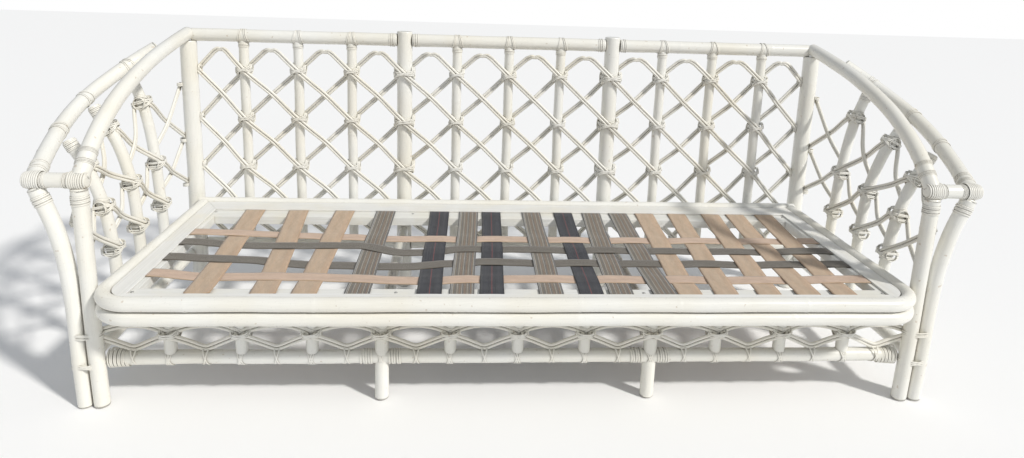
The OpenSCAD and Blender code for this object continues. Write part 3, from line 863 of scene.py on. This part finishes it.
def leg_bindings():
    shape = Shape()
    for side in (-1, 1):
        middle = side * LEG_PAIR_X
        y = LEG_Y * MM
        coil(shape, (middle, y, LEG_TIE_HIGH), Z, X, 37.5 * MM, 19 * MM, 3, 4.6 * MM)
        for tilt in (-7, 7):
            coil(shape, (middle, y, LEG_TIE_LOW), Z, X, 37.5 * MM, 19 * MM, 2, 4.6 * MM,
                 tilt=tilt * MM, start=rng.uniform(0, 1))
        # the rail's end is wound up against the leg
        coil(shape, (side * RAIL_WIND_X, FRONT_Y, FRONT_RAIL_Z), -X * side, Z, RAIL_R + 4 * MM,
             RAIL_R + 1.5 * MM, 11, 4.2 * MM, grow=-0.28, shift=vec(0, 0, -3) * MM)
    add_peel("front_leg_bindings", shape)


# ---- sides ----

def side_run(a, b, y_a, y_b, side, flank):
    """Places from knot a to knot b; flank is 1 outside the uprights and -1 inside."""
    places = []
    for u in np.linspace(0, 1, 24):
        on_upright = (y_a if u < 0.5 else y_b) in SIDE_Y
        peak = UPRIGHT_R + CANE_R + 1.2 * MM if on_upright else TOUCH + 2 * MM
        off = TOUCH + (peak - TOUCH) * (0.5 + 0.5 * math.cos(2 * math.pi * u))
        x, z = a[0] + (b[0] - a[0]) * u, a[1] + (b[1] - a[1]) * u
        places.append((side * (x * MM + flank * off), (y_a + (y_b - y_a) * u) * MM, z * MM))
    return np.array(places)


def upright_paths(side):
    """The curves of the side uprights, from front to back."""
    return [side_path([(x, y, z) for x, z in points], side)
            for y, points in zip(SIDE_Y, SIDE_UPRIGHTS)]


def side_knots():
    """Knots [x, z] on the uprights, on the corner post, and midway between the legs."""
    on_uprights = [[(at(path, 2, z * MM)[0][0] / MM, z) for z in heights]
                   for path, heights in zip(upright_paths(1), SIDE_KNOT_Z)]
    on_post = [((CORNER_X + CORNER_R) / MM, z) for z in SIDE_POST_KNOT_Z]
    inner, outer = side_path(LEG_INNER, 1), side_path(LEG_OUTER, 1)
    on_legs = [((at(inner, 2, z * MM)[0][0] + at(outer, 2, z * MM)[0][0]) / 2 / MM, z)
               for z in SIDE_LEG_KNOT_Z]
    return on_uprights, on_post, on_legs


def sides():
    for side, word in SIDES:
        poles = Shape()
        for path in upright_paths(side):
            rattan(poles, path, UPRIGHT_R, sides=20, wander=0.6 * MM)
        add_pole(f"side_uprights_{word}", poles, "poles")
        add_node_pole(f"side_bottom_rail_{word}")
        k, post, leg = side_knots()
        y0, y1, y2 = SIDE_Y
        y_leg, y_post = FRONT_Y / MM, BACK_Y / MM
        rising = [(leg[0], k[0][1], y_leg, y0), (leg[1], k[0][2], y_leg, y0),
                  (k[0][0], k[1][1], y0, y1), (k[0][1], k[1][2], y0, y1),
                  (k[1][0], k[2][1], y1, y2), (k[1][1], k[2][2], y1, y2),
                  (k[2][0], post[1], y2, y_post), (k[2][1], post[2], y2, y_post)]
        falling = [(leg[1], k[0][0], y_leg, y0), (k[0][2], k[1][1], y0, y1),
                   (k[0][1], k[1][0], y0, y1), (k[1][2], k[2][1], y1, y2),
                   (k[1][1], k[2][0], y1, y2), (k[2][2], post[1], y2, y_post),
                   (k[2][1], post[0], y2, y_post)]
        canes = Shape()
        for flank, runs in ((1, rising), (-1, falling)):
            for a, b, y_a, y_b in runs:
                places = side_run(a, b, y_a, y_b, side, flank)
                tangent = unit(np.gradient(places, axis=0))
                across = unit(np.cross(tangent, X))
                for offset in PAIR:
                    tube(canes, places + across * offset, CANE_R, sides=12)
        build(f"side_canes_{word}.pairs", canes, cane_paint, [f"side_canes_{word}"])
        knots = Shape()
        for path, heights in zip(upright_paths(side), SIDE_KNOT_Z):
            for z in heights:
                spot, way = at(path, 2, z * MM)
                lattice_knot(knots, spot, way, Y, UPRIGHT_R)
        for ends, y in ((post, y_post - 20), (leg, y_leg + 4)):
            for x, z in ends:
                small_knot(knots, vec(side * x, y, z) * MM, Z, X, 10 * MM)
        add_peel(f"side_lashings_{word}", knots)


# ---- front skirt ----

SKIRT_KNOT_Z = 176 * MM
SKIRT_LOW = FRONT_RAIL_Z + RAIL_R + 5 * MM
SKIRT_ARCH = 194 * MM


def skirt():
    for side, word in SIDES:
        leg = Shape()
        straight(leg, (side * POST_X, FRONT_Y, 0), (side * POST_X, FRONT_Y, SKIRT_TOP), RAIL_R,
                 rounding=6 * MM)
        add_pole(f"front_mid_leg_{word}", leg)
    add_node_pole("front_bottom_rail", wander=1.0 * MM)
    uprights = Shape()
    for i in UPRIGHT_BAYS:
        straight(uprights, (i * BAY, FRONT_Y, FRONT_RAIL_Z + RAIL_R - 5 * MM),
                 (i * BAY, FRONT_Y, SKIRT_TOP), UPRIGHT_R)
    add_pole("skirt_uprights", uprights, "poles")
    canes = Shape()
    stand = UPRIGHT_R + CANE_R + 1 * MM
    for i in range(-6, 6):
        xm = (i + 0.5) * BAY
        vee, arch = [], []
        for u in np.linspace(-1, 1, 37):
            x = xm + u * (BAY / 2 - 3 * MM)
            bend = math.sqrt(u * u + 0.012)
            depth = TOUCH + (stand - TOUCH) * u * u
            vee.append((x, FRONT_Y - depth, SKIRT_LOW + (SKIRT_KNOT_Z - SKIRT_LOW) * bend))
            arch_z = SKIRT_ARCH - (SKIRT_ARCH - SKIRT_KNOT_Z - 6 * MM) * u * u
            arch.append((x, FRONT_Y - depth + 6 * MM, arch_z))
        for run in (vee, arch):
            for offset in PAIR:
                cane_run(canes, run, offset)
    build("skirt_canes.pairs", canes, cane_paint, ["skirt_canes"])
    knots = Shape()
    for i in UPRIGHT_BAYS + POST_BAYS:
        x = i * BAY
        radius = RAIL_R if i in POST_BAYS else UPRIGHT_R
        lattice_knot(knots, (x, FRONT_Y, SKIRT_KNOT_Z), Z, X, radius, spread=13 * MM,
                     slope=0.5)
        for s in (-1, 1):
            coil(knots, (x, FRONT_Y, FRONT_RAIL_Z), X, Z, RAIL_R + 1.2 * MM, RAIL_R + 1.6 * MM,
                 2, 4 * MM, tilt=s * 6 * MM)
            if i in POST_BAYS:
                hoop(knots, (x + s * 34 * MM, FRONT_Y, FRONT_RAIL_Z), X, Z, RAIL_R + 0.9 * MM,
                     5, 6.2 * MM, peel=2.6 * MM)
    for i in range(-6, 6):
        for s in (-1, 1):
            coil(knots, ((i + 0.5) * BAY, FRONT_Y, FRONT_RAIL_Z + 4 * MM), X, Z,
                 RAIL_R + 5 * MM, RAIL_R + 2 * MM, 1.1, 3 * MM, tilt=s * 7 * MM, start=2.5)
    add_peel("skirt_lashings", knots)


# ---- seat ----

def seat_poles():
    for word in ("upper", "lower"):
        low, high = node_box(f"seat_pole_{word}")
        z, radius = (low[2] + high[2]) / 2, (high[2] - low[2]) / 2
        x1, y0, y1 = ring_high[0] - radius, ring_low[1] + radius, ring_high[1]
        arc = np.radians(np.linspace(0, 90, 22))
        left = [(-x1 + BEND_R * (1 - math.cos(a)), y0 + BEND_R * (1 - math.sin(a)), z)
                for a in arc]
        right = [(-x, y, z) for x, y, _ in left[::-1]]
        corners = [(-x1, y1, z), *left, *right, (x1, y1, z)]
        path = [np.array(corners[0])]
        for p in corners[1:]:
            last = path[-1]
            step = np.array(p) - last
            count = max(1, int(np.linalg.norm(step) / POLE_STEP))
            path.extend([last + step * k / count for k in range(1, count + 1)])
        pole = Shape()
        rattan(pole, path, radius, sides=28, wander=0.5 * MM)
        add_pole(f"seat_pole_{word}", pole)
        add_node_pole(f"seat_back_pole_{word}")
    for _, word in SIDES:
        add_node_pole(f"cross_stretcher_{word}")


def board(name, outline, z0, z1, along, material, node, edge=1.6 * MM):
    """A board with eased edges. along is the axis, 0 or 1, that its grain follows."""
    mesh = bpy.data.meshes.new(name)
    bm = bmesh.new()
    face = bm.faces.new([bm.verts.new((x, y, z0)) for x, y in outline])
    grown = bmesh.ops.extrude_face_region(bm, geom=[face])
    top = [v for v in grown["geom"] if isinstance(v, bmesh.types.BMVert)]
    bmesh.ops.translate(bm, verts=top, vec=(0, 0, z1 - z0))
    bmesh.ops.recalc_face_normals(bm, faces=bm.faces)
    bmesh.ops.bevel(bm, geom=list(bm.edges), offset=edge, segments=3, affect="EDGES",
                    profile=0.6)
    layer = bm.loops.layers.uv.new("run")
    for f in bm.faces:
        for loop in f.loops:
            p = loop.vert.co
            loop[layer].uv = (p[1 - along] + p.z, p[along])
    bm.to_mesh(mesh)
    bm.free()
    add_piece(name, mesh, material, [node])


def corner_arc(a0, a1):
    """Places on a round corner that follows the bend of the seat poles."""
    r = BEND_R - RING_R
    return [(BEND_X + r * math.cos(a), BEND_Y + r * math.sin(a))
            for a in np.radians(np.linspace(a0, a1, 9))]


def to_left(outline):
    return [(-x, y) for x, y in outline[::-1]]


def seat_boards():
    for node in ("frame_timber_front", "frame_timber_back", "frame_timber_left",
                 "frame_timber_right", "skirt_top_rail"):
        low, high = node_box(node)
        outline = [(low[0], low[1]), (high[0], low[1]), (high[0], high[1]), (low[0], high[1])]
        if node == "frame_timber_front":
            end = math.degrees(math.asin((high[1] - BEND_Y) / (BEND_R - RING_R)))
            outline = corner_arc(-90, end)
            outline += to_left(outline)
        along = 1 if node.endswith(("left", "right")) else 0
        board(f"{node}.board", outline, low[2], high[2], along, timber_paint, node)
    end_high = node_box("trim_board_right")[1]
    x_out, y1 = end_high[0], end_high[1]
    mitre = math.degrees(math.atan2(STRAP_Y0 - BEND_Y, STRAP_X - BEND_X))
    board_low, board_high = node_box("trim_board_front")
    z0, z1 = board_low[2], board_high[2]
    front = [*corner_arc(-90, mitre), (STRAP_X, STRAP_Y0)]
    front += to_left(front)
    back = [(-STRAP_X, STRAP_Y1), (STRAP_X, STRAP_Y1), (x_out, y1), (-x_out, y1)]
    right = [*corner_arc(mitre, 0), (x_out, y1), (STRAP_X, STRAP_Y1), (STRAP_X, STRAP_Y0)]
    left = to_left(right)
    for word, outline, along in (("front", front, 0), ("back", back, 0), ("left", left, 1),
                                 ("right", right, 1)):
        board(f"trim_board_{word}.board", outline, z0, z1, along, trim_paint,
              f"trim_board_{word}", edge=1.2 * MM)


# ---- webbing ----

STRAP_T = 1.5 * MM
TAN_CROSS = [(-735, -770), (-590, -640), (-500, -500), (400, 435), (490, 540), (595, 650),
             (690, 730), (780, 825)]
GREY_CROSS = [(-380, -375), (-140, -120), (70, 75), (235, 265), (340, 350)]
NAVY_CROSS = [(-215, -210), (-70, -50), (165, 175)]
LONG_Y = (18, -64, -160, -254)
# how each lengthwise strap wanders from its own line: [x, shift in y]
LONG_WANDER = [
    [(-889, 34), (-700, 30), (-480, 14), (-300, 0), (0, 4), (300, 0), (600, 2), (889, -4)],
    [(-889, 40), (-620, 22), (-430, 30), (-290, -20), (-120, 10), (200, 6), (550, 2), (889, 0)],
    [(-889, 32), (-700, 24), (-520, -4), (-300, -16), (-100, 16), (200, 12), (889, 6)],
    [(-889, 28), (-760, 10), (-560, 12), (-260, -8), (0, 4), (300, 2), (600, 0), (889, 4)],
]


def cross_straps():
    """All cross straps from left to right: the colour's name, front x and back x."""
    straps = [("tan", *s) for s in TAN_CROSS] + [("grey", *s) for s in GREY_CROSS]
    straps += [("navy", *s) for s in NAVY_CROSS]
    return sorted(straps, key=lambda s: s[1])


def long_y(j, x):
    """Where the middle of lengthwise strap j lies at x."""
    xs = np.array([p[0] for p in LONG_WANDER[j]]) * MM
    ys = np.array([p[1] for p in LONG_WANDER[j]]) * MM
    k = int(np.clip(np.searchsorted(xs, x) - 1, 0, len(xs) - 2))
    u = (x - xs[k]) / (xs[k + 1] - xs[k])
    u = u * u * (3 - 2 * u)
    return LONG_Y[j] * MM + ys[k] + (ys[k + 1] - ys[k]) * u


def long_is_over(i, j):
    """True where lengthwise strap j passes over cross strap i; the third is out of turn."""
    row = 1 if i == 2 else i
    return (row + j) % 2 == 0


def ribbon(shape, middle, across, width, curl):
    """A flat strap along middle; across is its sideways direction, curl lifts its edges."""
    middle, across = np.array(middle), np.array(across)
    n, cols = len(middle), 9
    s = np.linspace(-0.5, 0.5, cols)
    normal = unit(np.cross(across, np.gradient(middle, axis=0)))
    normal *= np.sign(normal[:, 2:])
    flat = middle[:, None] + s[None, :, None] * width * across[:, None]
    flat = flat + (4 * s[None, :] ** 2 * np.array(curl)[:, None])[..., None] * normal[:, None]
    top = flat + normal[:, None] * STRAP_T / 2
    low = flat - normal[:, None] * STRAP_T / 2
    ring = np.concatenate([top, low[:, ::-1]], 1)
    size = 2 * cols
    i, k, k1, quads = ring_quads(n, size)
    where = np.concatenate([(s + 0.5), (s + 0.5)[::-1]]) * width
    along = length_along(middle)
    uv = np.stack([where[k], along[i], where[k1], along[i], where[k1], along[i + 1],
                   where[k], along[i + 1]], 1)
    c = np.arange(cols - 1)
    start = np.stack([c, size - 1 - c, size - 2 - c, c + 1], 1)
    end = start[:, ::-1] + (n - 1) * size
    cap = np.tile([0, 0, 0, STRAP_T, STRAP_T, STRAP_T, STRAP_T, 0], (cols - 1, 1))
    faces = [quads, start, end]
    if np.cross(top[1, 0] - top[0, 0], top[0, 1] - top[0, 0])[2] > 0:
        faces = [f[:, ::-1] for f in faces]
        uv = uv.reshape(-1, 4, 2)[:, ::-1].reshape(-1, 8)
    shape.add(ring.reshape(-1, 3), faces, [uv, cap, cap])


def strap_run(middle):
    """A strap's middle line, its sideways directions, and 0 to 1 along it."""
    middle = np.array(middle)
    across = unit(np.cross(unit(np.gradient(middle, axis=0)), Z))
    return middle, across, np.linspace(0, 1, len(middle))


WEAVE = 1.25 * MM
SAG = 4.5 * MM
REST_Z = TIMBER_TOP + STRAP_T / 2 + 0.15 * MM


def deck_height(x, y, level):
    """Height of a strap: the deck's own sag, and level 1 over or -1 under another strap."""
    inset = 30 * MM
    part_x = min(1.0, max(0.0, (STRAP_X - inset - abs(x)) / (220 * MM)))
    part_y = min(1.0, max(0.0, min(y - STRAP_Y0 - inset, STRAP_Y1 - inset - y) / (150 * MM)))
    drop = SAG * math.sin(part_x * math.pi / 2) * math.sin(part_y * math.pi / 2)
    return REST_Z + STRAP_T / 2 + 0.6 * MM + level * WEAVE - drop


def add_cross_straps():
    fabrics = {"tan": (tan_fabric, "tan_webbing"), "grey": (grey_fabric, "striped_webbing"),
               "navy": (navy_fabric, "navy_webbing")}
    for i, (shade, front, back) in enumerate(cross_straps()):
        middle = []
        curl_end = rng.choice((0, 0, 2.5, 4)) * MM
        for u in np.linspace(0, 1, 120):
            y = STRAP_Y0 + 0.4 * MM + (STRAP_Y1 - STRAP_Y0 - 0.8 * MM) * u
            x = (front + (back - front) * u) * MM
            x += 2.0 * MM * math.sin(math.pi * u) * math.sin(3 * u + i)
            level, weight = 0.0, 0.0
            for j in range(4):
                near = math.exp(-(((y - long_y(j, x)) / (26 * MM)) ** 2))
                level += near * (-1 if long_is_over(i, j) else 1)
                weight += near
            level /= max(weight, 0.6)
            middle.append((x, y, deck_height(x, y, level)))
        middle, across, along = strap_run(middle)
        curl = curl_end * np.exp(-((along / 0.08) ** 2)) + 0.6 * MM * np.sin(np.pi * along)
        shape = Shape()
        ribbon(shape, middle, across, CROSS_W, curl)
        fabric, slot = fabrics[shade]
        strap = build(f"cross_strap_{i + 1:02d}", shape, fabric,
                      [f"straps_cross_{shade}"])


def add_long_straps():
    crossing = cross_straps()
    for j in range(4):
        middle = []
        for x in np.arange(-STRAP_X + 0.5 * MM, STRAP_X, 4 * MM):
            y = long_y(j, x)
            u = (y - STRAP_Y0) / (STRAP_Y1 - STRAP_Y0)
            level, weight = 0.0, 0.0
            for i, (_, front, back) in enumerate(crossing):
                cross_x = (front + (back - front) * u) * MM
                near = math.exp(-(((x - cross_x) / (30 * MM)) ** 2))
                level += near * (1 if long_is_over(i, j) else -1)
                weight += near
            level /= max(weight, 0.6)
            middle.append((x, y, deck_height(x, y, level)))
        middle, across, along = strap_run(middle)
        curl = (1.2 if j in (1, 2) else 0.5) * MM * (1 + np.sin(along * 40 + j)) / 2
        shape = Shape()
        ribbon(shape, middle, across, LONG_W, curl)
        tan = j in (0, 3)
        strap = build(
            f"long_strap_{j + 1}", shape, pink_fabric if tan else elastic_fabric,
            ["straps_long_tan" if tan else "straps_long_grey"],
        )


# ---- fixings ----

def fixings():
    staples = Shape()
    for _, front, back in cross_straps():
        for x, y in ((front * MM, STRAP_Y0 + 8 * MM), (back * MM, STRAP_Y1 - 8 * MM)):
            for dx in (-16, 4):
                z = REST_Z + STRAP_T
                left, right = x + dx * MM, x + (dx + 12) * MM
                legs = [(left, y, z - 2 * MM), (left, y, z - 0.2 * MM), (left + 1 * MM, y, z),
                        (right - 1 * MM, y, z), (right, y, z - 0.2 * MM), (right, y, z - 2 * MM)]
                wire = smooth_path(legs, 1 * MM)
                tube(staples, wire, 0.6 * MM, thick=0.4 * MM, sides=8,
                     outward=np.tile(Y, (len(wire), 1)))
    build("staples.wire", staples, steel_paint, ["staples"])
    screws = Shape()
    for side in (-1, 1):
        for y in (STRAP_Y0 + 16 * MM, STRAP_Y1 - 16 * MM):
            for x in (POST_X - 38 * MM, STRAP_X - 6 * MM):
                screw_head(screws, vec(side * x, y, TIMBER_TOP))
    build("frame_screws.heads", screws, steel_paint, ["frame_screws"])


def screw_head(shape, spot):
    """A domed head with a cross recess cut into its top."""
    sides, rings = 32, 7
    angle = 2 * np.pi * np.arange(sides) / sides
    rows = []
    for k in range(rings):
        part = k / (rings - 1)
        r = 4 * MM * math.cos(part * math.pi / 2 * 0.93)
        z = 2 * MM * math.sin(part * math.pi / 2)
        slot = np.clip(np.cos(2 * angle) ** 8, 0, 1) * (0.9 * MM if part > 0.45 else 0)
        rows.append(np.stack([r * np.cos(angle), r * np.sin(angle), z - slot], 1))
    points = np.concatenate([np.concatenate(rows), [[0, 0, 1.0 * MM], [0, 0, 0]]]) + spot
    quads = ring_quads(rings, sides)[3]
    k = np.arange(sides)
    k1 = (k + 1) % sides
    top = (rings - 1) * sides
    crown = np.stack([np.full(sides, rings * sides), top + k, top + k1], 1)
    foot = np.stack([np.full(sides, rings * sides + 1), k1, k], 1)
    shape.add(points, [quads, crown, foot],
              [np.zeros((len(quads), 8)), np.zeros((sides, 6)), np.zeros((sides, 6))])


# ---- camera, floor and light ----

def add_camera():
    yaw, pitch, roll = math.radians(-4.177), math.radians(11.505), math.radians(1.939)
    ex = Vector((math.cos(yaw), math.sin(yaw), 0))
    ey = Vector((-math.sin(yaw), math.cos(yaw), 0))
    ez = Vector((0, 0, 1))
    forward = math.cos(pitch) * ey - math.sin(pitch) * ez
    upward = math.sin(pitch) * ey + math.cos(pitch) * ez
    right = math.cos(roll) * ex + math.sin(roll) * upward
    up = -math.sin(roll) * ex + math.cos(roll) * upward
    data = bpy.data.cameras.new("camera")
    data.sensor_width = 36
    data.lens = 24.93
    data.shift_y = -0.1045
    data.clip_end = 60
    camera = bpy.data.objects.new("camera", data)
    bpy.context.scene.collection.objects.link(camera)
    columns = Matrix((right, up, -forward)).transposed().to_4x4()
    camera.matrix_world = Matrix.Translation((-0.1486, -1.8743, 1.0223)) @ columns
    bpy.context.scene.camera = camera


def add_floor():
    mesh = bpy.data.meshes.new("floor")
    bm = bmesh.new()
    bmesh.ops.create_grid(bm, x_segments=1, y_segments=1, size=14)
    bm.to_mesh(mesh)
    bm.free()
    floor = bpy.data.objects.new("floor", mesh)
    bpy.context.scene.collection.objects.link(floor)
    m = Paint("floor_paint")
    m.shader.inputs["Base Color"].default_value = (0.96, 0.96, 0.96, 1)
    m.shader.inputs["Roughness"].default_value = 0.9
    mesh.materials.append(m.mat)


def add_light():
    world = bpy.data.worlds.new("studio")
    world.use_nodes = True
    tree = world.node_tree
    sky = tree.nodes["Background"]
    sky.inputs["Color"].default_value = (0.90, 0.94, 1.0, 1)
    sky.inputs["Strength"].default_value = 0.44
    paper = tree.nodes.new("ShaderNodeBackground")
    paper.inputs["Color"].default_value = (1.0, 1.0, 1.0, 1)
    paper.inputs["Strength"].default_value = 1.0
    ray = tree.nodes.new("ShaderNodeLightPath")
    blend = tree.nodes.new("ShaderNodeMixShader")
    tree.links.new(ray.outputs["Is Camera Ray"], blend.inputs[0])
    tree.links.new(sky.outputs["Background"], blend.inputs[1])
    tree.links.new(paper.outputs["Background"], blend.inputs[2])
    tree.links.new(blend.outputs["Shader"], tree.nodes["World Output"].inputs["Surface"])
    bpy.context.scene.world = world
    bpy.context.scene.view_settings.view_transform = "Standard"
    key = bpy.data.lights.new("key", "SUN")
    key.energy = 2.75
    key.angle = math.radians(5)
    key.color = (1.0, 0.975, 0.93)
    lamp = bpy.data.objects.new("key", key)
    toward = Vector((0.60, -0.46, 0.655))
    lamp.rotation_euler = toward.to_track_quat("Z", "Y").to_euler()
    lamp.location = toward * 4
    bpy.context.scene.collection.objects.link(lamp)


add_camera()
back_poles()
back_canes()
back_lashings()
arms()
leg_bindings()
sides()
skirt()
seat_poles()
seat_boards()
add_cross_straps()
add_long_straps()
fixings()
add_floor()
add_light()
